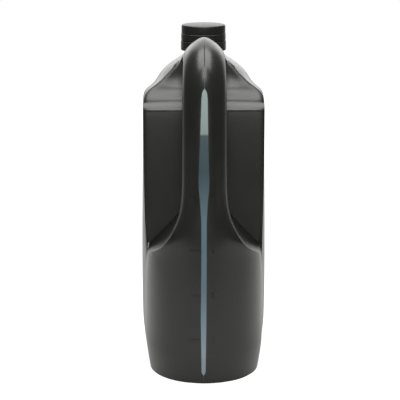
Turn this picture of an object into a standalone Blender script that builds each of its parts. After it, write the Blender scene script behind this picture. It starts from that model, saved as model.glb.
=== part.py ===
"""Five-litre motor oil bottle: blown jug with a hollow handle, screw cap, tamper band and oil.

Metres, +Z up. The bottle stands on z = 0, with its handle end at -Y and the mould's parting
plane at x = 0. The blown wall is one coarse half cage of rings, mirrored at the parting
plane, smoothed and given its thickness. Cap, liner and tamper band are turned profiles.
"""
import math
from collections import namedtuple

import bmesh
import bpy
from mathutils import Vector

# Body, outside
BODY_LENGTH = 0.2165
BODY_THICKNESS = 0.1270
UPPER_THICKNESS = 0.1226
WALL = 0.0014
HANDLE_END = -BODY_LENGTH / 2
FAR_END = BODY_LENGTH / 2

# Rounded end under the handle: half an ellipse in plan
NEAR_END_DEPTH = 0.0645
NEAR_END_WIDTH = 0.1134

# The broad sides stand proud of the rounded end and of the foot
PANEL_START = 0.0755
PANEL_FOOT_HEIGHT = 0.0300
PANEL_EDGE_HEIGHT = 0.0050
PANEL_STEP = 0.0018

# Foot
TAPER_HEIGHT = 0.0230
SIDE_TAPER = 0.0040
END_TAPER = 0.0072
FOOT_ROUNDING_HEIGHT = 0.0018
FOOT_CURVE_HEIGHT = 0.0110
FOOT_LAND = 0.0045
PUSH_UP_HEIGHT = 0.0035
PUSH_UP_SLOPE = 0.0120

# Scooped recess, finger gap and handle
RECESS_FOOT_HEIGHT = 0.1170
GAP_FOOT_HEIGHT = 0.1760
HANDLE_WIDTH = 0.0430
HANDLE_DEPTH = 0.0335
HANDLE_ROOT_HEIGHT = 0.1690
HANDLE_STRAIGHT_HEIGHT = 0.1930
CREST_SETBACK = 0.0580
ARM_DEPTH = 0.0345
ARM_FALL = 0.0055

# Heights of the top, each a drop or a rise from the one that carries it
MOUTH_HEIGHT = 0.3306
CREST_RISE = 0.0024
BEND_DROP = 0.0560
THREAD_DROP = 0.0126
BEAD_DROP = 0.0166
NECK_ROOT_DROP = 0.0206
NECK_BASE_DROP = 0.0244
SHOULDER_DROP = 0.0288
WALL_TOP_DROP = 0.0503
FILL_DROP = 0.0035
CREST_HEIGHT = MOUTH_HEIGHT + CREST_RISE
HANDLE_BEND_HEIGHT = CREST_HEIGHT - BEND_DROP
SHOULDER_HEIGHT = MOUTH_HEIGHT - SHOULDER_DROP
WALL_TOP_HEIGHT = SHOULDER_HEIGHT - WALL_TOP_DROP

# Shoulder
SHOULDER_SETBACK = 0.0980
SHOULDER_WIDTH = 0.0624
SHOULDER_LENGTH = 0.0690

# Neck
NECK_Y = 0.0180
NECK_RADIUS = 0.0180
NECK_BASE_FLARE = 0.0016
BEAD_RISE = 0.0033

# Oil and fits
FILL_HEIGHT = WALL_TOP_HEIGHT - FILL_DROP
TOUCH_GAP = 0.00035
OIL_GAP = 0.0022
MERGE_DISTANCE = 0.00002
SLIVER_HEIGHT = 0.0002

# Cap, liner and tamper band
CAP_RADIUS = 0.0222
CAP_STEP = 0.0003
CAP_WALL = 0.0022
CAP_TOP_THICKNESS = 0.0028
CAP_UPPER_TIER = 0.0091
CAP_LOWER_TIER = 0.0064
CAP_ROUNDING = 0.0014
CAP_CROWN = 0.0003
LINER_THICKNESS = 0.0016
LINER_CLEARANCE = 0.0005
BREAK_GAP = 0.0007
BAND_HEIGHT = 0.0092
BAND_WALL = 0.0016
BAND_LIP = 0.0011
BAND_LIP_HEIGHT = 0.0014
ROUND_STEPS = 48
ROUNDING_STEPS = 3

# Shares that shape the cage, chosen by hand
SWELL_SHARE = 1.027
RIM_CREASE_SHARES = (1.0, 1.0, 1.0, 0.8)
FLOOR_CREASE_SHARE = 0.9
CORNER_CREASE_SHARE = 0.9
FOOT_CREASE_SHARE = 1.0
SMOOTH_LEVELS = 1
OIL_FACET_SHARE = 0.5
END_ANGLE_SHARES = (0.0, 0.27, 0.52, 0.77, 0.985)
STEP_SHARE = 0.5
FAR_FALL_SHARES = (0.0, 0.15, 0.60, 1.0, 1.0, 1.0)
FOOT_TAPER_SHARES = (0.93, 0.55, 0.14)
PANEL_TAPER_SHARE = 0.12
BARREL_WIDTH_SHARES = (0.925, 0.985, 1.006, 0.995, 0.950, 0.58, 0.0)
UPPER_CORNER_SHARE = 0.972
BARREL_RUN_SHARES = (0.0, 0.17, 0.42, 0.73, 0.925, 0.996, 1.005)
OVAL_WIDTH_SHARES = (0.90, 1.04, 1.06, 0.93, 0.70, 0.37, 0.0)
OVAL_RUN_SHARES = (0.0, 0.22, 0.46, 0.68, 0.86, 0.97, 1.0)
WALL_WIDTH_SHARES = (0.0, 0.20, 0.40, 0.58, 0.74, 0.89, 1.0)

# Handle section from its outer to its inner centre line: share of half width, share of depth
TUBE_WIDTH_SHARES = (0.0, 0.36, 0.68, 0.91, 1.03, 0.95, 0.52, 0.0)
TUBE_DEPTH_SHARES = (0.0, 0.02, 0.11, 0.28, 0.54, 0.82, 0.985, 1.0)
RIDGE_WIDTH_SHARES = (0.0, 0.31, 0.59, 0.84, 1.03, 0.95, 0.52, 0.0)
RIDGE_DEPTH_SHARES = (0.0, 0.080, 0.225, 0.385, 0.56, 0.84, 0.985, 1.0)

# Bend of the handle: share of the quarter turn, and of the change to the ridged section
TURN_SHARES = (0.33, 0.66, 1.0)
TURN_RIDGE_SHARES = (0.25, 0.6, 1.0)
TURN_WIDTH_SHARES = (0.975, 0.94, 0.94)
ARM_FALL_SHARE = 0.45
ARM_RIDGE_SHARE = 0.8
ARM_WIDTH_SHARE = 1.04
ROOT_FLARE_SHARE = 1.09

# Top of the arm where it runs into the neck's root: share of half the shoulder's width, share
# of the way from neck to crest, share of the rise from the neck's root to the crest
ARM_END_WIDTH_SHARES = (0.0, 0.26, 0.48, 0.66)
ARM_END_BACK_SHARES = (0.16, 0.17, 0.19, 0.21)
ARM_END_RISE_SHARES = (0.17, 0.13, 0.04, -0.05)

# Rim of the recess, from its outer end up to the handle: share of the half width of the end,
# share of the way back along it, share of the rise from recess foot to handle root
RIM_WIDTH_SHARES = (1.0, 0.90, 0.730, 0.540)
RIM_BACK_SHARES = (0.98, 0.49, 0.255, 0.130)
RIM_SPREAD_SHARES = (0.0, 0.25, 0.35, 0.43)
END_CURVE_POWER = 2.3
RIM_RISE_SHARES = (0.0, 0.165, 0.292, 0.568)
FRONT_RISE_SHARES = (0.0, 0.260, 0.490, 0.740)

# Crease at the back of the recess floor, outer end first, then across the gap's foot:
# share of the half thickness, share of the rise from recess foot to gap foot
CREASE_WIDTH_SHARES = (0.840, 0.722, 0.568, 0.412, 0.210, 0.0)
CREASE_RISE_SHARES = (0.085, 0.225, 0.400, 0.600, 0.860, 1.0)

# Middle of the recess floor: share of the way from rim to crease, and of half the thickness
FLOOR_WIDTH_SHARES = (0.840, 0.705, 0.550, 0.372)
FLOOR_BACK_SHARES = (0.50, 0.50, 0.50, 0.50)
FLOOR_RISE_SHARES = (0.085, 0.215, 0.410, 0.650)

ShoulderRow = namedtuple(
    "ShoulderRow",
    "front_rise front_back corner_rise corner_back corner_in side_rise side_in far_rise far_in round",
)

# Rows from the top of the flat wall to the shoulder's top: shares of the rise, of the way back
# from the wall, and of the way in from the broad side and from the far end
SHOULDER_ROW_SHARES = (
    ShoulderRow(0.00, 0.00, 0.00, 0.00, 0.00, 0.00, 0.00, 0.00, 0.00, 0.00),
    ShoulderRow(0.11, 0.02, 0.11, 0.02, 0.00, 0.14, 0.00, 0.05, 0.01, 0.03),
    ShoulderRow(0.19, 0.13, 0.18, 0.12, 0.00, 0.25, 0.02, 0.09, 0.03, 0.07),
    ShoulderRow(0.25, 0.30, 0.23, 0.28, 0.01, 0.34, 0.05, 0.14, 0.07, 0.12),
    ShoulderRow(0.32, 0.34, 0.30, 0.32, 0.02, 0.40, 0.11, 0.19, 0.13, 0.19),
    ShoulderRow(0.45, 0.57, 0.44, 0.50, 0.06, 0.46, 0.25, 0.26, 0.24, 0.27),
    ShoulderRow(0.52, 0.61, 0.56, 0.62, 0.40, 0.57, 0.48, 0.38, 0.41, 0.42),
    ShoulderRow(0.62, 0.80, 0.73, 0.80, 0.81, 0.73, 0.60, 0.62, 0.64, 0.70),
    ShoulderRow(0.80, 0.96, 1.04, 1.00, 1.24, 0.95, 1.00, 0.95, 1.00, 1.00),
)

# Sharpness of those rows across the front wall, and where the last starts beside the arm
ROW_CREASE_SHARES = (0.0, 0.5, 0.0, 0.4, 0.4, 0.0, 0.7, 0.0, 0.8)


def blend(start, end, share):
    return start + (end - start) * share


def from_end(distance):
    """Y of a place measured inwards from the handle end."""
    return HANDLE_END + distance


def make_material(name, colour, roughness):
    material = bpy.data.materials.new(name)
    material.use_nodes = True
    shader = material.node_tree.nodes["Principled BSDF"]
    shader.inputs["Base Color"].default_value = (*colour, 1.0)
    shader.inputs["Roughness"].default_value = roughness
    return material


def end_point(width_share, back_share, height, insets=(0.0, 0.0), swell_share=SWELL_SHARE):
    """Place on the rounded end, by its share of the half width and of the end's depth."""
    side_inset, end_inset = insets
    x = (NEAR_END_WIDTH / 2 - side_inset) * width_share
    depth = (NEAR_END_DEPTH - end_inset) * swell_share
    y = from_end(NEAR_END_DEPTH) - depth * (1 - back_share)
    return Vector((x, y, height))


def lower_ring(height, side_inset=0.0, end_inset=0.0, panel_share=1.0):
    """Half outline below the recess: rounded end, step, broad side and far end."""
    ring = []
    for share in END_ANGLE_SHARES:
        angle = share * math.pi / 2
        width_share = SWELL_SHARE * math.sin(angle)
        ring.append(end_point(width_share, 1 - math.cos(angle), height, (side_inset, end_inset)))
    side_x = BODY_THICKNESS / 2 - side_inset - PANEL_STEP * (1 - panel_share)
    start_y = from_end(PANEL_START)
    run = FAR_END - end_inset - start_y
    step_x = blend(ring[-1].x, side_x * BARREL_WIDTH_SHARES[0], STEP_SHARE)
    step_y = blend(ring[-1].y, start_y, STEP_SHARE)
    ring.append(Vector((step_x, step_y, height)))
    for width_share, run_share in zip(BARREL_WIDTH_SHARES, BARREL_RUN_SHARES):
        ring.append(Vector((side_x * width_share, start_y + run * run_share, height)))
    return ring


def upper_ring(row):
    """Half outline above the gap's foot: front wall, corner, broad side and far end."""
    rise = SHOULDER_HEIGHT - WALL_TOP_HEIGHT
    front_y = blend(from_end(PANEL_START), from_end(SHOULDER_SETBACK), row.front_back)
    front_z = WALL_TOP_HEIGHT + rise * row.front_rise
    corner_x = blend(UPPER_THICKNESS / 2 * UPPER_CORNER_SHARE, SHOULDER_WIDTH / 2, row.corner_in)
    corner_y = blend(from_end(PANEL_START), from_end(SHOULDER_SETBACK) - TOUCH_GAP, row.corner_back)
    corner_z = WALL_TOP_HEIGHT + rise * row.corner_rise
    side_x = blend(UPPER_THICKNESS / 2, SHOULDER_WIDTH / 2, row.side_in)
    side_z = WALL_TOP_HEIGHT + rise * row.side_rise
    far_y = blend(FAR_END, from_end(SHOULDER_SETBACK) + SHOULDER_LENGTH, row.far_in)
    far_z = WALL_TOP_HEIGHT + rise * row.far_rise
    ring = []
    for share in WALL_WIDTH_SHARES:
        y = blend(front_y, corner_y, share ** 4)
        ring.append(Vector((corner_x * share, y, blend(front_z, corner_z, share ** 2))))
    for index, fall_share in enumerate(FAR_FALL_SHARES, start=1):
        height = blend(side_z, far_z, fall_share)
        width = blend(BARREL_WIDTH_SHARES[index], OVAL_WIDTH_SHARES[index], row.round)
        run = blend(BARREL_RUN_SHARES[index], OVAL_RUN_SHARES[index], row.round)
        ring.append(Vector((side_x * width, blend(corner_y, far_y, run), height)))
    return ring


def tube_ring(outer, inner, half_width, ridge_share):
    """Half section of the handle between its outer and inner centre points, in (y, z)."""
    ring = []
    for index in range(len(TUBE_WIDTH_SHARES)):
        width = blend(TUBE_WIDTH_SHARES[index], RIDGE_WIDTH_SHARES[index], ridge_share)
        depth = blend(TUBE_DEPTH_SHARES[index], RIDGE_DEPTH_SHARES[index], ridge_share)
        y = blend(outer[0], inner[0], depth)
        z = blend(outer[1], inner[1], depth)
        ring.append(Vector((half_width * width, y, z)))
    return ring


def handle_rings():
    """Sections up the handle, round its bend and over the crest."""
    outer_y = HANDLE_END
    inner_y = HANDLE_END + HANDLE_DEPTH
    half_width = HANDLE_WIDTH / 2
    crest_y = from_end(CREST_SETBACK)
    bend_rise = CREST_HEIGHT - HANDLE_BEND_HEIGHT
    inner_crest = CREST_HEIGHT - ARM_DEPTH
    inner_rise = inner_crest - HANDLE_BEND_HEIGHT
    straight = (HANDLE_STRAIGHT_HEIGHT, HANDLE_STRAIGHT_HEIGHT)
    bend = (HANDLE_BEND_HEIGHT, HANDLE_BEND_HEIGHT - ARM_DEPTH / 2)
    rings = []
    for outer_height, inner_height in (straight, bend):
        rings.append(tube_ring((outer_y, outer_height), (inner_y, inner_height), half_width, 0.0))
    for turn_share, ridge_share, width_share in zip(TURN_SHARES, TURN_RIDGE_SHARES, TURN_WIDTH_SHARES):
        angle = turn_share * math.pi / 2
        outer = (
            crest_y - (crest_y - outer_y) * SWELL_SHARE * math.cos(angle),
            HANDLE_BEND_HEIGHT + bend_rise * SWELL_SHARE * math.sin(angle),
        )
        inner = (
            crest_y - (crest_y - inner_y) * math.cos(angle),
            HANDLE_BEND_HEIGHT + inner_rise * math.sin(angle),
        )
        rings.append(tube_ring(outer, inner, half_width * width_share, ridge_share))
    falling_y = blend(crest_y, NECK_Y - NECK_RADIUS, ARM_FALL_SHARE)
    outer = (falling_y, CREST_HEIGHT - ARM_FALL)
    inner = (falling_y, inner_crest - ARM_FALL)
    rings.append(tube_ring(outer, inner, half_width * ARM_WIDTH_SHARE, ARM_RIDGE_SHARE))
    return rings


def arm_end_ring(shoulder_top):
    """Last section of the arm, which meets the shoulder's top row around the gap's top."""
    neck_front = NECK_Y - NECK_RADIUS - NECK_BASE_FLARE
    crest_y = from_end(CREST_SETBACK)
    ring = []
    for index, share in enumerate(ARM_END_WIDTH_SHARES):
        y = blend(neck_front, crest_y, ARM_END_BACK_SHARES[index])
        z = blend(MOUTH_HEIGHT - NECK_BASE_DROP, CREST_HEIGHT, ARM_END_RISE_SHARES[index])
        ring.append(Vector((SHOULDER_WIDTH / 2 * share, y, z)))
    return ring + list(reversed(shoulder_top[: len(TUBE_WIDTH_SHARES) - len(ring)]))


def neck_ring(height, radius, points):
    ring = []
    for index in range(points):
        angle = math.pi * index / (points - 1)
        x = radius * math.sin(angle)
        if index == points - 1:
            x = 0.0
        ring.append(Vector((x, NECK_Y - radius * math.cos(angle), height)))
    return ring


class Cage:
    """Half cage of the blown wall: rings of vertices joined by quads that face outwards."""

    def __init__(self):
        self.mesh = bmesh.new()

    def ring(self, points):
        return [self.mesh.verts.new(point) for point in points]

    def join(self, lower, upper):
        for index in range(len(lower) - 1):
            self.mesh.faces.new((lower[index], lower[index + 1], upper[index + 1], upper[index]))

    def crease(self, path, share):
        layer = self.mesh.edges.layers.float.get("crease_edge")
        if layer is None:
            layer = self.mesh.edges.layers.float.new("crease_edge")
        for start, end in zip(path, path[1:]):
            edge = self.mesh.edges.get((start, end))
            edge[layer] = share


def add_foot(cage, corner):
    """Standing ring and shallow push-up, closed across the parting plane."""
    centre_y = (corner[0].co.y + corner[-1].co.y) / 2
    half_length = (corner[-1].co.y - corner[0].co.y) / 2
    rows = (
        (FOOT_LAND, 0.0),
        (FOOT_LAND + PUSH_UP_SLOPE, PUSH_UP_HEIGHT),
    )
    previous = corner
    for inset, height in rows:
        scale = 1 - inset / half_length
        side_scale = 1 - inset / max(vert.co.x for vert in corner)
        points = []
        for vert in corner:
            y = centre_y + (vert.co.y - centre_y) * scale
            points.append(Vector((vert.co.x * side_scale, y, height)))
        ring = cage.ring(points)
        cage.join(ring, previous)
        if height == 0:
            cage.crease(ring, FOOT_CREASE_SHARE)
        previous = ring
    spine = [previous[0]]
    for vert in previous[1:-1]:
        spine.extend(cage.ring([Vector((0.0, vert.co.y, PUSH_UP_HEIGHT))]))
    spine.append(previous[-1])
    for index in range(len(previous) - 1):
        corners = (previous[index + 1], previous[index], spine[index], spine[index + 1])
        cage.mesh.faces.new(dict.fromkeys(corners))


def add_recess(cage, body_row):
    """Rounded end up to the handle's root, scooped floor and the foot of the finger gap."""
    front = len(END_ANGLE_SHARES)
    root_rise = HANDLE_ROOT_HEIGHT - RECESS_FOOT_HEIGHT
    rim = [body_row[front - 1]]
    previous = body_row[:front]
    for row in range(1, len(RIM_WIDTH_SHARES)):
        points = []
        for index, angle_share in enumerate(END_ANGLE_SHARES):
            across = math.sin(angle_share * math.pi / 2) / math.sin(END_ANGLE_SHARES[-1] * math.pi / 2)
            across = blend(across, index / (front - 1), RIM_SPREAD_SHARES[row])
            rise = blend(FRONT_RISE_SHARES[row], RIM_RISE_SHARES[row], across ** 2)
            width = RIM_WIDTH_SHARES[row] * across
            back = RIM_BACK_SHARES[row] * across ** END_CURVE_POWER
            height = RECESS_FOOT_HEIGHT + root_rise * rise
            swell = blend(SWELL_SHARE, 1.0, row / len(RIM_WIDTH_SHARES))
            points.append(end_point(width, back, height, swell_share=swell))
        ring = cage.ring(points)
        cage.join(previous, ring)
        rim.append(ring[-1])
        previous = ring
    outer = (HANDLE_END, HANDLE_ROOT_HEIGHT)
    inner = (HANDLE_END + HANDLE_DEPTH, HANDLE_ROOT_HEIGHT)
    root = tube_ring(outer, inner, HANDLE_WIDTH / 2, 0.0)
    root[front - 1].x = HANDLE_WIDTH / 2 * ROOT_FLARE_SHARE
    ring = cage.ring(root[:front])
    cage.join(previous, ring)
    rim.append(ring[-1])
    for start, share in enumerate(RIM_CREASE_SHARES):
        cage.crease(rim[start : start + 2], share)

    gap_rise = GAP_FOOT_HEIGHT - RECESS_FOOT_HEIGHT
    wall_y = from_end(PANEL_START)
    crease = [body_row[front + 1]]
    for width_share, rise_share in zip(CREASE_WIDTH_SHARES, CREASE_RISE_SHARES):
        x = BODY_THICKNESS / 2 * width_share
        crease.extend(cage.ring([Vector((x, wall_y, RECESS_FOOT_HEIGHT + gap_rise * rise_share))]))
    floor = [body_row[front]]
    for index, width_share in enumerate(FLOOR_WIDTH_SHARES):
        x = BODY_THICKNESS / 2 * width_share
        y = blend(rim[index + 1].co.y, wall_y, FLOOR_BACK_SHARES[index])
        floor.extend(cage.ring([Vector((x, y, RECESS_FOOT_HEIGHT + gap_rise * FLOOR_RISE_SHARES[index]))]))
    inner_y = HANDLE_END + HANDLE_DEPTH
    for width_share, rise_share in zip(CREASE_WIDTH_SHARES[-2:], CREASE_RISE_SHARES[-2:]):
        x = BODY_THICKNESS / 2 * width_share
        floor.extend(cage.ring([Vector((x, inner_y, RECESS_FOOT_HEIGHT + gap_rise * rise_share))]))
    for index in range(len(rim) - 1):
        cage.mesh.faces.new((rim[index], floor[index], floor[index + 1], rim[index + 1]))
    for index in range(len(crease) - 1):
        cage.mesh.faces.new((floor[index], crease[index], crease[index + 1], floor[index + 1]))
    cage.crease(crease, FLOOR_CREASE_SHARE)
    handle_root = ring + floor[len(rim) - 1 :]
    return handle_root, list(reversed(crease))


def build_cage():
    """Half of the blown wall, open at the parting plane and at the mouth."""
    cage = Cage()
    corner = cage.ring(lower_ring(0.0, SIDE_TAPER, END_TAPER, 0.0))
    add_foot(cage, corner)
    cage.crease(corner, FOOT_CREASE_SHARE)
    rows = (
        (FOOT_ROUNDING_HEIGHT, FOOT_TAPER_SHARES[0], 0.0),
        (FOOT_CURVE_HEIGHT, FOOT_TAPER_SHARES[1], 0.0),
        (TAPER_HEIGHT, FOOT_TAPER_SHARES[2], 0.0),
        (PANEL_FOOT_HEIGHT, 0.0, 0.0),
        (PANEL_FOOT_HEIGHT + PANEL_EDGE_HEIGHT, PANEL_TAPER_SHARE, 1.0),
        (RECESS_FOOT_HEIGHT, 0.0, 1.0),
    )
    previous = corner
    for height, taper_share, panel_share in rows:
        ring = cage.ring(lower_ring(height, SIDE_TAPER * taper_share, END_TAPER * taper_share, panel_share))
        cage.join(previous, ring)
        previous = ring

    handle_root, wall_foot = add_recess(cage, previous)
    main = wall_foot + previous[len(END_ANGLE_SHARES) + 2 :]
    wall_row = upper_ring(SHOULDER_ROW_SHARES[0])
    middle_height = (GAP_FOOT_HEIGHT + WALL_TOP_HEIGHT) / 2
    ring = cage.ring([Vector((point.x, point.y, middle_height)) for point in wall_row])
    cage.join(main, ring)
    wall_corner = [main[len(WALL_WIDTH_SHARES) - 1], ring[len(WALL_WIDTH_SHARES) - 1]]
    main = ring
    for row, crease_share in zip(SHOULDER_ROW_SHARES, ROW_CREASE_SHARES):
        ring = cage.ring(upper_ring(row))
        cage.join(main, ring)
        wall_corner.append(ring[len(WALL_WIDTH_SHARES) - 1])
        beside_arm = len(TUBE_WIDTH_SHARES) - len(ARM_END_WIDTH_SHARES) - 1 if row is SHOULDER_ROW_SHARES[-1] else 0
        cage.crease(ring[beside_arm : len(WALL_WIDTH_SHARES)], crease_share)
        main = ring
    cage.crease(wall_corner, CORNER_CREASE_SHARE)

    arm = handle_root
    for points in handle_rings():
        ring = cage.ring(points)
        cage.join(arm, ring)
        arm = ring
    end_points = arm_end_ring([vert.co for vert in main])
    fresh = len(ARM_END_WIDTH_SHARES)
    arm_end = cage.ring(end_points[:fresh]) + list(reversed(main[: len(end_points) - fresh]))
    cage.join(arm, arm_end)

    neck_root = arm_end[:fresh] + main[len(arm_end) - fresh - 1 :]
    neck_rows = (
        (NECK_BASE_DROP, NECK_RADIUS + NECK_BASE_FLARE),
        (NECK_ROOT_DROP, NECK_RADIUS),
        (BEAD_DROP, NECK_RADIUS + BEAD_RISE),
        (THREAD_DROP, NECK_RADIUS),
        (0.0, NECK_RADIUS),
    )
    previous = neck_root
    for drop, radius in neck_rows:
        ring = cage.ring(neck_ring(MOUTH_HEIGHT - drop, radius, len(neck_root)))
        cage.join(previous, ring)
        previous = ring

    mesh = bpy.data.meshes.new("bottle_cage")
    cage.mesh.to_mesh(mesh)
    cage.mesh.free()
    return mesh


def add_skin_modifiers(obj):
    mirror = obj.modifiers.new("mould_halves", "MIRROR")
    mirror.merge_threshold = MERGE_DISTANCE
    smooth = obj.modifiers.new("blown_form", "SUBSURF")
    smooth.levels = SMOOTH_LEVELS
    smooth.render_levels = SMOOTH_LEVELS


def add_bottle(collection, cage_mesh, material):
    bottle = bpy.data.objects.new("bottle", cage_mesh)
    collection.objects.link(bottle)
    add_skin_modifiers(bottle)
    wall = bottle.modifiers.new("wall", "SOLIDIFY")
    wall.thickness = WALL
    wall.offset = -1.0
    wall.use_rim = True
    bottle.data.materials.append(material)
    bottle.data.shade_smooth()
    return bottle


def add_oil(collection, guides, cage_mesh, material):
    """Oil fills the wall's inside up to the fill height, a touch clear of the wall."""
    guide = bpy.data.objects.new("inside_guide", cage_mesh)
    guides.objects.link(guide)
    guide.hide_render = True
    guide.display_type = "WIRE"
    add_skin_modifiers(guide)
    inset = guide.modifiers.new("inside", "DISPLACE")
    inset.strength = -(WALL + OIL_GAP)
    inset.mid_level = 0.0
    thinned = guide.modifiers.new("fewer_facets", "DECIMATE")
    thinned.ratio = OIL_FACET_SHARE
    thinned.use_symmetry = True
    thinned.symmetry_axis = "X"
    bpy.context.view_layer.update()
    evaluated = guide.evaluated_get(bpy.context.evaluated_depsgraph_get())
    mesh = bpy.data.meshes.new_from_object(evaluated)
    mesh.name = "oil"
    work = bmesh.new()
    work.from_mesh(mesh)
    cut = bmesh.ops.bisect_plane(
        work,
        geom=work.verts[:] + work.edges[:] + work.faces[:],
        plane_co=(0.0, 0.0, FILL_HEIGHT),
        plane_no=(0.0, 0.0, 1.0),
        clear_outer=True,
    )
    surface_edges = [item for item in cut["geom_cut"] if isinstance(item, bmesh.types.BMEdge)]
    level = bmesh.ops.edgeloop_fill(work, edges=surface_edges)
    bmesh.ops.poke(work, faces=level["faces"])
    bmesh.ops.dissolve_degenerate(work, dist=SLIVER_HEIGHT, edges=work.edges[:])
    bmesh.ops.recalc_face_normals(work, faces=work.faces[:])
    work.to_mesh(mesh)
    work.free()
    mesh.materials.clear()
    mesh.materials.append(material)
    oil = bpy.data.objects.new("oil", mesh)
    collection.objects.link(oil)
    return oil


def add_turned(name, collection, profile, material):
    """Turns a profile of (radius, height) points about the neck's axis."""
    mesh = bpy.data.meshes.new(name)
    points = [(radius, 0.0, height) for radius, height in profile]
    edges = [(index, index + 1) for index in range(len(points) - 1)]
    if profile[0][0] > 0:
        edges.append((len(points) - 1, 0))
    mesh.from_pydata(points, edges, [])
    obj = bpy.data.objects.new(name, mesh)
    collection.objects.link(obj)
    obj.location = (0.0, NECK_Y, 0.0)
    turn = obj.modifiers.new("turned", "SCREW")
    turn.steps = ROUND_STEPS
    turn.render_steps = ROUND_STEPS
    turn.use_merge_vertices = True
    turn.merge_threshold = MERGE_DISTANCE
    turn.use_normal_calculate = False
    mesh.materials.append(material)
    return obj


def rounded_corner(radius, height, rounding):
    """Quarter round from the top inwards edge down to the outer side."""
    points = []
    for step in range(ROUNDING_STEPS + 1):
        angle = math.pi / 2 * (1 - step / ROUNDING_STEPS)
        x = radius - rounding + rounding * math.cos(angle)
        points.append((x, height - rounding + rounding * math.sin(angle)))
    return points


def cap_heights():
    liner_foot = MOUTH_HEIGHT + TOUCH_GAP
    liner_top = liner_foot + LINER_THICKNESS
    ceiling = liner_top + TOUCH_GAP
    top = ceiling + CAP_TOP_THICKNESS
    foot = top - CAP_UPPER_TIER - CAP_LOWER_TIER
    return liner_foot, liner_top, ceiling, top, foot


def add_cap(collection, material):
    _, _, ceiling, top, foot = cap_heights()
    bore = CAP_RADIUS - CAP_WALL
    upper_radius = CAP_RADIUS - CAP_STEP
    ledge = top - CAP_UPPER_TIER
    profile = [(0.0, top)]
    profile += rounded_corner(upper_radius, top - CAP_CROWN, CAP_ROUNDING)
    profile += [
        (upper_radius, ledge),
        (CAP_RADIUS, ledge - CAP_STEP),
        (CAP_RADIUS, foot + CAP_STEP),
        (CAP_RADIUS - CAP_STEP, foot),
        (bore, foot),
        (bore, ceiling),
        (0.0, ceiling),
    ]
    return add_turned("cap", collection, profile, material)


def add_liner(collection, material):
    liner_foot, liner_top, _, _, _ = cap_heights()
    radius = CAP_RADIUS - CAP_WALL - LINER_CLEARANCE
    profile = [(0.0, liner_top), (radius, liner_top), (radius, liner_foot), (0.0, liner_foot)]
    return add_turned("cap_liner", collection, profile, material)


def add_band(collection, material):
    foot_of_cap = cap_heights()[-1]
    top = foot_of_cap - BREAK_GAP
    foot = top - BAND_HEIGHT
    outer = CAP_RADIUS + CAP_STEP
    bore = outer - BAND_WALL
    lip = bore - BAND_LIP
    profile = [
        (outer - CAP_STEP, top),
        (outer, top - CAP_STEP),
        (outer, foot + CAP_STEP),
        (outer - CAP_STEP, foot),
        (lip, foot),
        (lip, foot + BAND_LIP_HEIGHT),
        (bore, foot + BAND_LIP_HEIGHT + BAND_LIP),
        (bore, top),
    ]
    return add_turned("tamper_band", collection, profile, material)


def main():
    for obj in list(bpy.data.objects):
        bpy.data.objects.remove(obj, do_unlink=True)
    parts = bpy.data.collections.new("motor_oil_bottle")
    guides = bpy.data.collections.new("guides")
    bpy.context.scene.collection.children.link(parts)
    bpy.context.scene.collection.children.link(guides)

    cage_mesh = build_cage()
    add_bottle(parts, cage_mesh, make_material("blown_polyethylene", (0.030, 0.030, 0.027), 0.38))
    add_oil(parts, guides, cage_mesh.copy(), make_material("engine_oil", (0.45, 0.28, 0.06), 0.08))
    cap_material = make_material("moulded_polypropylene", (0.016, 0.016, 0.014), 0.42)
    add_cap(parts, cap_material)
    add_band(parts, cap_material)
    add_liner(parts, make_material("foam_wad", (0.80, 0.80, 0.78), 0.85))


main()
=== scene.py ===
import math

import bmesh
import bpy
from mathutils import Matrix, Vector


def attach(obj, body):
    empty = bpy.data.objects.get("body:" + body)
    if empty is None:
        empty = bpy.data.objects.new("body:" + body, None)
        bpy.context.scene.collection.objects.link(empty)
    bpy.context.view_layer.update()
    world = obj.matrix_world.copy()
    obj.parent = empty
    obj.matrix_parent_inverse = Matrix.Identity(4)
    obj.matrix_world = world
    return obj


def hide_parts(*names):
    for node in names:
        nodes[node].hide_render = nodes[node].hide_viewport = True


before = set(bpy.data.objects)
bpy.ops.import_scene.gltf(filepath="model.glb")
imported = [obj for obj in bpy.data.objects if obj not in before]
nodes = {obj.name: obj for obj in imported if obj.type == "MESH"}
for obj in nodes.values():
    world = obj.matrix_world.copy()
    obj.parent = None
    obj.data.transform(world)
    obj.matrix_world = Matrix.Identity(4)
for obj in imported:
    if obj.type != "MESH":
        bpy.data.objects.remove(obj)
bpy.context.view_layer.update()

scene = bpy.context.scene
scene.view_settings.view_transform = "Standard"


# Camera
# The photograph looks along the bottle's length from its handle end, through a long lens
# that stands a trace left of the middle and above the cap's height, and looks a little down.
EYE_DISTANCE = 1.577
EYE_HEIGHT = 0.5085
EYE_PITCH = math.radians(12.6)
EYE_TURN = math.radians(0.55)
LENS_PX = 1600.0         # the lens's focal length, in pixels of the photograph
FRAME_PX = 400.0
CENTRE_PX = (203.6, 204.0)
SENSOR_MM = 36.0

eye_data = bpy.data.cameras.new("camera")
eye = bpy.data.objects.new("camera", eye_data)
scene.collection.objects.link(eye)
eye_data.sensor_width = SENSOR_MM
eye_data.lens = LENS_PX / FRAME_PX * SENSOR_MM
eye_data.shift_x = -(CENTRE_PX[0] - FRAME_PX / 2) / FRAME_PX
eye_data.shift_y = (CENTRE_PX[1] - FRAME_PX / 2) / FRAME_PX
eye.location = (-math.sin(EYE_TURN) * EYE_DISTANCE, -math.cos(EYE_TURN) * EYE_DISTANCE, EYE_HEIGHT)
eye.rotation_euler = (math.pi / 2 - EYE_PITCH, 0.0, -EYE_TURN)
scene.camera = eye


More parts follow.
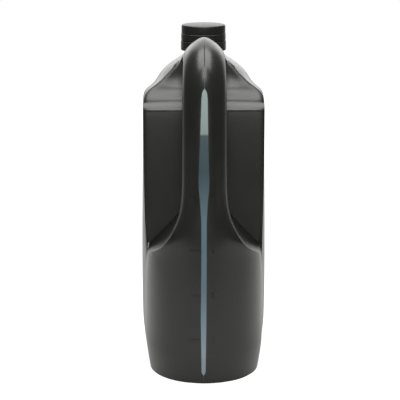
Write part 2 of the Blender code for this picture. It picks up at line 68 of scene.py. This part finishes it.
# Studio
# A white surround that glossy skin sees full bright behind the bottle and dim on the camera's
# side, one softbox overhead, one behind and a narrow one in front, and a low card under the
# lens. So faces that look at the camera stay dark and their edges turn light.
SWEEP_WHITE = 1.0
FILL_LIGHT = 0.45
CAMERA_SIDE = 0.12
SWEEP_STARTS = 0.58      # how far a direction has to point back before the surround brightens
SWEEP_FULL = 1.00
LAMPS = (                # name, place, what it points at, size in metres, watts
    ("softbox_overhead", (0.0, -0.10, 1.90), (0.0, -0.03, 0.20), (1.90, 1.60), 48.0),
    ("softbox_front", (0.0, -1.30, 1.55), (0.0, -0.03, 0.25), (0.46, 0.95), 10.5),
    ("softbox_behind", (0.0, 1.55, 1.32), (0.0, 0.0, 0.30), (2.00, 2.20), 18.0),
    ("card_under_lens", (0.0, -1.45, 0.19), (0.0, 0.0, 0.26), (0.70, 0.16), 1.1),
)
FLOOR_WIDTH = 1.2
FLOOR_NEAR = -0.48
FLOOR_FAR = 2.6
PAPER = "#a0a09e"
PAPER_SHOWN = 0.80       # lift that the camera sees, over which the bottle's shadow still shows
PAPER_MIRRORED = 0.25    # lift that glossy skin sees


def add_node(tree, kind, inputs=None, **settings):
    """Adds a node with its settings; each input is linked to a socket or set to a value.

    A Mix node numbers its two plain inputs 2 and 3, and its two colours 6 and 7.
    """
    node = tree.nodes.new(kind)
    for name, value in settings.items():
        setattr(node, name, value)
    for name, value in (inputs or {}).items():
        if isinstance(value, bpy.types.NodeSocket):
            tree.links.new(value, node.inputs[name])
        else:
            node.inputs[name].default_value = value
    return node


def linear(hex_colour):
    """sRGB hex colour to linear RGBA."""
    channels = [int(hex_colour[i:i + 2], 16) / 255 for i in (1, 3, 5)]
    return tuple(c / 12.92 if c <= 0.04045 else ((c + 0.055) / 1.055) ** 2.4 for c in channels) + (1.0,)


world = bpy.data.worlds.new("studio")
scene.world = world
world.use_nodes = True
sky = world.node_tree
sky.nodes.clear()
rays = add_node(sky, "ShaderNodeLightPath")
direction = add_node(sky, "ShaderNodeTexCoord")
split = add_node(sky, "ShaderNodeSeparateXYZ", {0: direction.outputs["Generated"]})
facing = add_node(
    sky, "ShaderNodeMapRange",
    {"Value": split.outputs["Y"], "From Min": SWEEP_STARTS, "From Max": SWEEP_FULL,
     "To Min": CAMERA_SIDE, "To Max": SWEEP_WHITE},
    interpolation_type="SMOOTHSTEP",
)
mirrored = add_node(
    sky, "ShaderNodeMath",
    {0: rays.outputs["Is Glossy Ray"], 1: rays.outputs["Is Transmission Ray"]},
    operation="MAXIMUM",
)
level = add_node(
    sky, "ShaderNodeMix", {0: mirrored.outputs[0], 2: FILL_LIGHT, 3: facing.outputs[0]}, data_type="FLOAT",
)
shown = add_node(
    sky, "ShaderNodeMix", {0: rays.outputs["Is Camera Ray"], 2: level.outputs[0], 3: SWEEP_WHITE},
    data_type="FLOAT",
)
light = add_node(sky, "ShaderNodeBackground", {"Color": linear("#ffffff"), "Strength": shown.outputs[0]})
add_node(sky, "ShaderNodeOutputWorld", {0: light.outputs[0]})

for name, stand, target, size, watts in LAMPS:
    lamp = bpy.data.lights.new(name, "AREA")
    lamp.shape = "RECTANGLE"
    lamp.size, lamp.size_y = size
    lamp.energy = watts
    holder = bpy.data.objects.new(name, lamp)
    scene.collection.objects.link(holder)
    holder.location = stand
    holder.rotation_euler = (Vector(target) - Vector(stand)).to_track_quat("-Z", "Y").to_euler()

bpy.ops.object.select_all(action="DESELECT")
bpy.ops.mesh.primitive_plane_add(size=1.0)
floor = bpy.context.object
floor.name = "floor"
for vert in floor.data.vertices:
    vert.co.x *= FLOOR_WIDTH
    vert.co.y = FLOOR_NEAR if vert.co.y < 0 else FLOOR_FAR

# Matt paper off a roll: it takes the shadow, and shows white to the camera through its lift
paper = bpy.data.materials.new("white_sweep_paper")
paper.use_nodes = True
tree = paper.node_tree
tree.nodes.clear()
rays = add_node(tree, "ShaderNodeLightPath")
mirrored = add_node(
    tree, "ShaderNodeMath",
    {0: rays.outputs["Is Glossy Ray"], 1: rays.outputs["Is Transmission Ray"]},
    operation="MAXIMUM",
)
mirrored = add_node(tree, "ShaderNodeMath", {0: mirrored.outputs[0], 1: PAPER_MIRRORED}, operation="MULTIPLY")
shown = add_node(
    tree, "ShaderNodeMath", {0: rays.outputs["Is Camera Ray"], 1: PAPER_SHOWN}, operation="MULTIPLY",
)
lift = add_node(tree, "ShaderNodeMath", {0: mirrored.outputs[0], 1: shown.outputs[0]}, operation="MAXIMUM")
glow = add_node(tree, "ShaderNodeEmission", {"Strength": lift.outputs[0]})
flat = add_node(tree, "ShaderNodeBsdfDiffuse", {"Color": linear(PAPER)})
both = add_node(tree, "ShaderNodeAddShader", {0: flat.outputs[0], 1: glow.outputs[0]})
add_node(tree, "ShaderNodeOutputMaterial", {0: both.outputs[0]})
floor.data.materials.append(paper)


# Bottle
# One blown shell of high-density polyethylene, coloured dark grey, with an uncoloured
# strip down the handle end. It is blown in two mould halves that meet at x = 0, which
# leaves a fine parting line, and its skin takes the mould's sandblasted grain.
WELD = 0.00001
CREASE_STARTS = 14.0     # degrees of bend at which an edge begins to stay crisp
CREASE_FULL = 28.0
CREASE_MOST = 0.95
SMOOTH_BELOW = math.radians(40)


def deselect():
    bpy.ops.object.select_all(action="DESELECT")


def take_up(piece):
    """Makes a piece the only selected and active object."""
    deselect()
    piece.select_set(True)
    bpy.context.view_layer.objects.active = piece


def merged_copy(node_name, piece_name):
    """A copy of a CAD node's mesh, its loose triangles joined up and its stored normals dropped."""
    mesh = nodes[node_name].data.copy()
    mesh.name = piece_name
    mesh.materials.clear()
    piece = bpy.data.objects.new(piece_name, mesh)
    scene.collection.objects.link(piece)
    take_up(piece)
    bpy.ops.object.mode_set(mode="EDIT")
    bpy.ops.mesh.select_all(action="SELECT")
    bpy.ops.mesh.remove_doubles(threshold=WELD)
    bpy.ops.object.mode_set(mode="OBJECT")
    bpy.ops.mesh.customdata_custom_splitnormals_clear()
    return piece


# The solid's triangles pair up into its quads again, and one subdivision rounds them as a blown
# wall is, while the shoulder's ridge and the recess's rim keep a crease
bottle = merged_copy("bottle", "bottle_skin")
bpy.ops.object.mode_set(mode="EDIT")
bpy.ops.mesh.select_all(action="SELECT")
bpy.ops.mesh.tris_convert_to_quads(face_threshold=math.pi, shape_threshold=math.pi, topology_influence=2.0)
bpy.ops.object.mode_set(mode="OBJECT")
shape = bmesh.new()
shape.from_mesh(bottle.data)
crease = shape.edges.layers.float.new("crease_edge")
for edge in shape.edges:
    if len(edge.link_faces) == 2:
        bend = math.degrees(edge.calc_face_angle())
        edge[crease] = min(max((bend - CREASE_STARTS) / (CREASE_FULL - CREASE_STARTS), 0.0), CREASE_MOST)
shape.to_mesh(bottle.data)
shape.free()
smooth = bottle.modifiers.new("blown_form", "SUBSURF")
smooth.levels = 1
smooth.render_levels = 1
bpy.ops.object.modifier_apply(modifier="blown_form")
bpy.ops.object.shade_smooth_by_angle(angle=SMOOTH_BELOW)

# Blown polyethylene: a satin skin whose gloss varies a little with the wall's stretch
SKIN_DARK = "#171714"
SKIN_SHEEN = "#1e1e1b"
SKIN_GLOSSIEST = 0.26    # roughness
SKIN_MATTEST = 0.32
SKIN_IOR = 1.54
GRAIN_MM = 0.9           # the real grain is about 0.1 mm; drawn coarser, so that it shows
GRAIN_DEPTH = 0.0001
RIPPLE_MM = 26.0         # slow waves where the wall stretched unevenly
RIPPLE_DEPTH = 0.0006
skin = bpy.data.materials.new("blown_polyethylene")
skin.use_nodes = True
tree = skin.node_tree
shader = tree.nodes["Principled BSDF"]
shader.inputs["IOR"].default_value = SKIN_IOR
place = add_node(tree, "ShaderNodeTexCoord")
axis = add_node(tree, "ShaderNodeSeparateXYZ", {0: place.outputs["Object"]})
ripple = add_node(
    tree, "ShaderNodeTexNoise", {"Vector": place.outputs["Object"], "Scale": 1000 / RIPPLE_MM, "Detail": 2.0},
)
grain = add_node(
    tree, "ShaderNodeTexNoise", {"Vector": place.outputs["Object"], "Scale": 1000 / GRAIN_MM, "Detail": 3.0},
)
pigment = add_node(
    tree, "ShaderNodeMix", {0: ripple.outputs["Fac"], 6: linear(SKIN_DARK), 7: linear(SKIN_SHEEN)},
    data_type="RGBA",
)
gloss = add_node(
    tree, "ShaderNodeMapRange",
    {"Value": ripple.outputs["Fac"], "To Min": SKIN_GLOSSIEST, "To Max": SKIN_MATTEST},
)

# View strip, from its lower to its upper tip, in as few points as its outline needs: height in
# metres, half width and lean to the left in millimetres. It is narrow up the body, widest in the
# recess under the handle, and tapers to the arm. One ramp carries both, the width in its red and
# the lean in its green.
STRIP_SHAPE = (
    (0.009, 0.0, 1.0), (0.010, 1.2, 1.0), (0.013, 2.1, 1.0), (0.064, 2.8, 1.0), (0.123, 2.7, 0.6),
    (0.162, 2.7, 0.6), (0.182, 3.8, 0.7), (0.193, 5.0, 0.7), (0.205, 5.3, 0.7), (0.220, 4.7, 0.7),
    (0.250, 3.7, 0.4), (0.280, 3.0, 0.1), (0.285, 2.4, 0.1), (0.287, 1.6, 0.1), (0.289, 0.0, 0.1),
)
STRIP_REACH = 0.30
STRIP_WIDEST_MM = 7.0
STRIP_EDGE = (-0.0002, 0.0005)
STRIP_BACK = -0.092      # the strip is on the handle end only, in front of this

# Its colour: lightest at the foot, plain up the body and darkest just under the level, a painted gradient of
# light rising downwards over the strip darkened by the oil behind it; above the level, clear of the oil, it
# is pale
LEVEL_HEIGHT = 0.2460
LEVEL_EDGE = 0.0006
STRIP_FOOT_PAINTED_LIGHT = "#8c9ca4"
STRIP_WET_PAINTED_LIGHT = "#5a707a"
STRIP_WET_PAINTED_SHADE = "#384c52"
STRIP_DRY = "#849490"
STRIP_TOP = "#90a09e"
STRIP_COLOURS = (
    (0.015, STRIP_FOOT_PAINTED_LIGHT), (0.095, STRIP_WET_PAINTED_LIGHT), (0.165, STRIP_WET_PAINTED_LIGHT), (0.210, STRIP_WET_PAINTED_SHADE),
    (LEVEL_HEIGHT - LEVEL_EDGE, STRIP_WET_PAINTED_SHADE), (LEVEL_HEIGHT + LEVEL_EDGE, STRIP_DRY), (0.285, STRIP_TOP),
)

# A second ramp carries the strip's colours by height: the oil's edge at the level, and painted light that
# rises towards the foot
along = add_node(tree, "ShaderNodeMath", {0: axis.outputs["Z"], 1: STRIP_REACH}, operation="DIVIDE")
widths = add_node(tree, "ShaderNodeValToRGB", {0: along.outputs[0]})
depth = add_node(tree, "ShaderNodeValToRGB", {0: along.outputs[0]})
width_stops = [
    (height, (half_width / STRIP_WIDEST_MM, lean / STRIP_WIDEST_MM, 0.0, 1.0))
    for height, half_width, lean in STRIP_SHAPE
]
colour_stops = [(height, linear(colour)) for height, colour in STRIP_COLOURS]
for ramp, stops in ((widths.color_ramp, width_stops), (depth.color_ramp, colour_stops)):
    while len(ramp.elements) < len(stops):
        ramp.elements.new(0.5)
    for element, (height, value) in zip(ramp.elements, stops):
        element.position = height / STRIP_REACH
    for element, (height, value) in zip(ramp.elements, stops):
        element.color = value

sides = add_node(tree, "ShaderNodeSeparateColor", {0: widths.outputs["Color"]})
half = add_node(
    tree, "ShaderNodeMath", {0: sides.outputs["Red"], 1: STRIP_WIDEST_MM / 1000}, operation="MULTIPLY",
)
across = add_node(
    tree, "ShaderNodeMath",
    {0: sides.outputs["Green"], 1: STRIP_WIDEST_MM / 1000, 2: axis.outputs["X"]},
    operation="MULTIPLY_ADD",
)
across = add_node(tree, "ShaderNodeMath", {0: across.outputs[0]}, operation="ABSOLUTE")
inside = add_node(tree, "ShaderNodeMath", {0: half.outputs[0], 1: across.outputs[0]}, operation="SUBTRACT")
strip = add_node(
    tree, "ShaderNodeMapRange",
    {"Value": inside.outputs[0], "From Min": STRIP_EDGE[0], "From Max": STRIP_EDGE[1]},
)
front = add_node(tree, "ShaderNodeMath", {0: axis.outputs["Y"], 1: STRIP_BACK}, operation="LESS_THAN")
strip = add_node(tree, "ShaderNodeMath", {0: strip.outputs[0], 1: front.outputs[0]}, operation="MULTIPLY")
# The strip's colour paints light: lighter towards the foot, painted shade just under the level
tint = add_node(
    tree, "ShaderNodeMix", {0: strip.outputs[0], 6: pigment.outputs[2], 7: depth.outputs["Color"]},
    data_type="RGBA",
)
tree.links.new(tint.outputs[2], shader.inputs["Base Color"])

# Parting line: a fine matt groove at x = 0, clear on the crown of the handle's arm, where the
# mould halves pinch the wall, and all but flat elsewhere
GROOVE_HALF = 0.0002
GROOVE_EDGE = 0.0004
GROOVE_DEPTH = 0.0004
GROOVE_ROUGHNESS = 0.95
GROOVE_CROWN = 0.3168    # height at which it is clear
GROOVE_FADE = (0.0070, 0.0100)
GROOVE_FILLED = 0.88     # share of its depth that is missing elsewhere
WAVER_MM = 1.2           # the flash along the line wanders a little
WAVER_WIDTH = 0.0003
waver = add_node(
    tree, "ShaderNodeTexNoise", {"Vector": place.outputs["Object"], "Scale": 1000 / WAVER_MM, "Detail": 1.0},
)
waver = add_node(
    tree, "ShaderNodeMath", {0: waver.outputs["Fac"], 1: WAVER_WIDTH, 2: -WAVER_WIDTH / 2},
    operation="MULTIPLY_ADD",
)
line = add_node(tree, "ShaderNodeMath", {0: axis.outputs["X"], 1: waver.outputs[0]}, operation="ADD")
line = add_node(tree, "ShaderNodeMath", {0: line.outputs[0]}, operation="ABSOLUTE")
line = add_node(
    tree, "ShaderNodeMapRange",
    {"Value": line.outputs[0], "From Min": GROOVE_HALF, "From Max": GROOVE_EDGE},
    interpolation_type="SMOOTHSTEP",
)
plain = add_node(tree, "ShaderNodeMath", {0: axis.outputs["Z"], 1: GROOVE_CROWN}, operation="SUBTRACT")
plain = add_node(tree, "ShaderNodeMath", {0: plain.outputs[0]}, operation="ABSOLUTE")
plain = add_node(
    tree, "ShaderNodeMapRange",
    {"Value": plain.outputs[0], "From Min": GROOVE_FADE[0], "From Max": GROOVE_FADE[1],
     "To Min": 0.0, "To Max": GROOVE_FILLED},
    interpolation_type="SMOOTHSTEP",
)
line = add_node(tree, "ShaderNodeMath", {0: line.outputs[0], 1: plain.outputs[0]}, operation="MAXIMUM")
matt = add_node(
    tree, "ShaderNodeMapRange",
    {"Value": line.outputs[0], "To Min": GROOVE_ROUGHNESS, "To Max": gloss.outputs[0]},
)
tree.links.new(matt.outputs[0], shader.inputs["Roughness"])
dent = add_node(
    tree, "ShaderNodeBump", {"Height": grain.outputs["Fac"], "Strength": 0.12, "Distance": GRAIN_DEPTH},
)
dent = add_node(
    tree, "ShaderNodeBump",
    {"Height": ripple.outputs["Fac"], "Normal": dent.outputs[0], "Strength": 0.25, "Distance": RIPPLE_DEPTH},
)
dent = add_node(
    tree, "ShaderNodeBump",
    {"Height": line.outputs[0], "Normal": dent.outputs[0], "Strength": 0.9, "Distance": GROOVE_DEPTH},
)
tree.links.new(dent.outputs[0], shader.inputs["Normal"])
bottle.data.materials.append(skin)
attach(bottle, "bottle")
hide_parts("bottle")


# Litre marks
# Four short bars left of the strip, one litre apart, each with its figure to the right.
# They are cut into the mould, so they stand proud of the skin and are part of it.
MARKS = (                # figure, height, left and right end of its bar
    ("4", 0.1858, -0.0144, -0.0032),
    ("3", 0.1348, -0.0141, -0.0032),
    ("2", 0.0904, -0.0119, -0.0037),
    ("1", 0.0457, -0.0133, -0.0042),
)
MARK_RELIEF = 0.0013
IN_FRONT = -0.15
UPRIGHT = (math.pi / 2, 0.0, 0.0)
BAR_HEIGHT = 0.0009
BAR_CUTS = 14
BAR_BEVEL = 0.0003
FIGURE_HEIGHT = 0.0052
FIGURE_LEFT = 0.0062
FIGURE_BEVEL = 0.0001
FONT_SHARE = 0.7         # a figure's height over its font's size


def lay_on_skin(piece, bevel):
    """Projects a flat shape backwards on to the skin and gives it its relief."""
    take_up(piece)
    wrap = piece.modifiers.new("on_skin", "SHRINKWRAP")
    wrap.target = bottle
    wrap.wrap_method = "PROJECT"
    wrap.use_project_y = True
    wrap.use_positive_direction = True
    wrap.use_negative_direction = False
    relief = piece.modifiers.new("relief", "SOLIDIFY")
    relief.thickness = MARK_RELIEF
    relief.offset = 0.0
    edge = piece.modifiers.new("edge", "BEVEL")
    edge.width = bevel
    edge.segments = 2
    edge.limit_method = "ANGLE"
    edge.angle_limit = math.radians(50)
    for name in ("on_skin", "relief", "edge"):
        bpy.ops.object.modifier_apply(modifier=name)
    bpy.ops.object.mode_set(mode="EDIT")
    bpy.ops.mesh.select_all(action="SELECT")
    bpy.ops.mesh.normals_make_consistent(inside=False)
    bpy.ops.object.mode_set(mode="OBJECT")
    piece.data.materials.clear()
    piece.data.materials.append(skin)
    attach(piece, "bottle")


for figure, height, left, right in MARKS:
    deselect()
    bpy.ops.mesh.primitive_plane_add(
        size=1.0, location=((left + right) / 2, IN_FRONT, height), rotation=UPRIGHT)
    bar = bpy.context.object
    bar.name = "litre_bar_" + figure
    bar.scale = (right - left, BAR_HEIGHT, 1.0)
    bpy.ops.object.transform_apply(location=True, rotation=True, scale=True)
    bpy.ops.object.mode_set(mode="EDIT")
    bpy.ops.mesh.select_all(action="SELECT")
    bpy.ops.mesh.subdivide(number_cuts=BAR_CUTS)
    bpy.ops.object.mode_set(mode="OBJECT")
    lay_on_skin(bar, BAR_BEVEL)
    deselect()
    bpy.ops.object.text_add(
        location=(FIGURE_LEFT, IN_FRONT, height - FIGURE_HEIGHT / 2), rotation=UPRIGHT)
    number = bpy.context.object
    number.name = "litre_figure_" + figure
    number.data.body = figure
    number.data.size = FIGURE_HEIGHT / FONT_SHARE
    bpy.ops.object.convert(target="MESH")
    bpy.ops.object.transform_apply(location=True, rotation=True, scale=True)
    bpy.ops.object.mode_set(mode="EDIT")
    bpy.ops.mesh.select_all(action="SELECT")
    bpy.ops.mesh.remove_doubles(threshold=WELD)
    bpy.ops.mesh.quads_convert_to_tris()
    bpy.ops.mesh.subdivide(number_cuts=1)
    bpy.ops.object.mode_set(mode="OBJECT")
    lay_on_skin(number, FIGURE_BEVEL)


# Neck thread
# The neck is blown round a threaded insert, which leaves a rounded right-hand thread of
# 4.23 mm pitch outside; the cap's own thread, moulded on a core that unscrews, runs between.
NECK_PLACE = (0.0, 0.018)
PITCH = 0.00423
THREAD_STEPS = 64
THREAD_FOOT = 0.3206


def add_thread(name, material, root, crest, foot, turns, half_root, half_crest):
    """A helical ridge from radius root to radius crest round the neck's axis."""
    deselect()
    bpy.ops.mesh.primitive_plane_add(size=1.0, location=(0.0, 0.0, 0.0))
    ridge = bpy.context.object
    ridge.name = name
    corners = ((root, -half_root), (crest, -half_crest), (crest, half_crest), (root, half_root))
    for vert, (radius, height) in zip((ridge.data.vertices[i] for i in (0, 1, 3, 2)), corners):
        vert.co = (radius, 0.0, foot + height)
    turn = ridge.modifiers.new("turn", "SCREW")
    turn.axis = "Z"
    turn.angle = math.tau * turns
    turn.screw_offset = PITCH * turns
    turn.steps = int(THREAD_STEPS * turns)
    turn.render_steps = int(THREAD_STEPS * turns)
    bpy.ops.object.modifier_apply(modifier="turn")
    ridge.location = (NECK_PLACE[0], NECK_PLACE[1], 0.0)
    bpy.ops.object.transform_apply(location=True, rotation=True, scale=True)
    bpy.ops.object.mode_set(mode="EDIT")
    bpy.ops.mesh.select_all(action="SELECT")
    bpy.ops.mesh.remove_doubles(threshold=WELD)
    bpy.ops.mesh.select_all(action="SELECT")
    bpy.ops.mesh.normals_make_consistent(inside=False)
    bpy.ops.object.mode_set(mode="OBJECT")
    bpy.ops.object.shade_smooth_by_angle(angle=SMOOTH_BELOW)
    ridge.data.materials.append(material)
    return ridge


neck_thread = add_thread(
    "neck_thread", skin, root=0.0178, crest=0.0192, foot=THREAD_FOOT, turns=1.75,
    half_root=0.0010, half_crest=0.0005,
)
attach(neck_thread, "bottle")


# Cap and tamper band
# Both are injection-moulded polypropylene, near black and without ribs, with the finely
# matted finish of an eroded mould. The band snaps under the neck's bead and stays there.
CLOSURE_BLACK = "#161613"
CLOSURE_GLOSSIEST = 0.40
CLOSURE_MATTEST = 0.48
SPECK_MM = 0.7           # the real finish is under 0.1 mm; drawn coarser, so that it shows
SPECK_DEPTH = 0.0001
CLOSURE_SMOOTH_BELOW = math.radians(30)
closure = bpy.data.materials.new("moulded_polypropylene")
closure.use_nodes = True
tree = closure.node_tree
shader = tree.nodes["Principled BSDF"]
shader.inputs["Base Color"].default_value = linear(CLOSURE_BLACK)
place = add_node(tree, "ShaderNodeTexCoord")
speck = add_node(
    tree, "ShaderNodeTexNoise", {"Vector": place.outputs["Object"], "Scale": 1000 / SPECK_MM, "Detail": 3.0},
)
gloss = add_node(
    tree, "ShaderNodeMapRange",
    {"Value": speck.outputs["Fac"], "To Min": CLOSURE_GLOSSIEST, "To Max": CLOSURE_MATTEST},
)
tree.links.new(gloss.outputs[0], shader.inputs["Roughness"])
dent = add_node(
    tree, "ShaderNodeBump", {"Height": speck.outputs["Fac"], "Strength": 0.1, "Distance": SPECK_DEPTH},
)
tree.links.new(dent.outputs[0], shader.inputs["Normal"])
for name, body in (("cap", "cap"), ("tamper_band", "bottle")):
    piece = merged_copy(name, name + "_shell")
    bpy.ops.object.shade_smooth_by_angle(angle=CLOSURE_SMOOTH_BELOW)
    piece.data.materials.append(closure)
    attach(piece, body)
    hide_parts(name)
cap_thread = add_thread(
    "cap_thread", closure, root=0.0202, crest=0.0190, foot=THREAD_FOOT + PITCH / 2, turns=1.5,
    half_root=0.0008, half_crest=0.0004,
)
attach(cap_thread, "cap")

# Bridges: what a first opening leaves of the twelve links between band and cap
BRIDGES = 12
BRIDGE_CIRCLE = 0.0212
BRIDGE_FOOT = 0.3194
BRIDGE_HEIGHT = 0.0006
BRIDGE_ROOT = 0.0006     # radius on the band
BRIDGE_TIP = 0.00035     # radius where it broke
bridges = []
for number in range(BRIDGES):
    angle = math.tau * (number + 0.5) / BRIDGES
    spot = (
        NECK_PLACE[0] + BRIDGE_CIRCLE * math.cos(angle),
        NECK_PLACE[1] + BRIDGE_CIRCLE * math.sin(angle),
        BRIDGE_FOOT + BRIDGE_HEIGHT / 2,
    )
    deselect()
    bpy.ops.mesh.primitive_cone_add(
        vertices=8, radius1=BRIDGE_ROOT, radius2=BRIDGE_TIP, depth=BRIDGE_HEIGHT, location=spot)
    bpy.ops.object.transform_apply(location=True, rotation=True, scale=True)
    bridges.append(bpy.context.object)
take_up(bridges[0])
for link in bridges:
    link.select_set(True)
bpy.ops.object.join()
band_bridges = bpy.context.object
band_bridges.name = "band_bridges"
band_bridges.data.materials.append(closure)
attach(band_bridges, "bottle")


# Liner
# A disc of white foamed polyethylene between two skins, punched from sheet and pressed
# into the cap; its cells show as a fine pitted matt surface, with the pits painted a little darker as painted
# shade.
FOAM_PIT_SHADED = "#d6d5d0"
FOAM_SKIN = "#ecebe6"
CELL_MM = 0.8            # real cells are about 0.3 mm; drawn coarser, so that they show
CELL_DEPTH = 0.0002
foam = bpy.data.materials.new("foamed_polyethylene_wad")
foam.use_nodes = True
tree = foam.node_tree
shader = tree.nodes["Principled BSDF"]
shader.inputs["Roughness"].default_value = 0.75
place = add_node(tree, "ShaderNodeTexCoord")
cells = add_node(tree, "ShaderNodeTexVoronoi", {"Vector": place.outputs["Object"], "Scale": 1000 / CELL_MM})
# Painted shade: the pits get a darker copy of the white foam's colour
tint = add_node(
    tree, "ShaderNodeMix", {0: cells.outputs["Distance"], 6: linear(FOAM_PIT_SHADED), 7: linear(FOAM_SKIN)},
    data_type="RGBA",
)
tree.links.new(tint.outputs[2], shader.inputs["Base Color"])
dent = add_node(
    tree, "ShaderNodeBump", {"Height": cells.outputs["Distance"], "Strength": 0.3, "Distance": CELL_DEPTH},
)
tree.links.new(dent.outputs[0], shader.inputs["Normal"])
nodes["cap_liner"].data.materials.clear()
nodes["cap_liner"].data.materials.append(foam)


# Oil
# Fresh mineral engine oil, clear amber and a little syrupy; a full charge stands at the
# five-litre level, its colour painted darker towards the bottom as painted shade.
OIL_DEEP_SHADED = "#7a4a12"
OIL_CLEAR = "#c98a2c"
CLOUD_MM = 60.0          # faint swirls in the filled oil
amber = bpy.data.materials.new("mineral_engine_oil")
amber.use_nodes = True
tree = amber.node_tree
shader = tree.nodes["Principled BSDF"]
shader.inputs["Roughness"].default_value = 0.05
shader.inputs["IOR"].default_value = 1.48
place = add_node(tree, "ShaderNodeTexCoord")
axis = add_node(tree, "ShaderNodeSeparateXYZ", {0: place.outputs["Object"]})
# Painted shade: the oil's colour darkens towards the bottom, with faint swirls mixed in
depth = add_node(
    tree, "ShaderNodeMapRange",
    {"Value": axis.outputs["Z"], "From Min": 0.0, "From Max": LEVEL_HEIGHT, "To Min": 0.0, "To Max": 1.0},
)
cloud = add_node(
    tree, "ShaderNodeTexNoise", {"Vector": place.outputs["Object"], "Scale": 1000 / CLOUD_MM, "Detail": 2.0},
)
blend = add_node(tree, "ShaderNodeMath", {0: depth.outputs[0], 1: cloud.outputs["Fac"]}, operation="MULTIPLY")
tint = add_node(
    tree, "ShaderNodeMix", {0: blend.outputs[0], 6: linear(OIL_DEEP_SHADED), 7: linear(OIL_CLEAR)},
    data_type="RGBA",
)
tree.links.new(tint.outputs[2], shader.inputs["Base Color"])
nodes["oil"].data.materials.clear()
nodes["oil"].data.materials.append(amber)
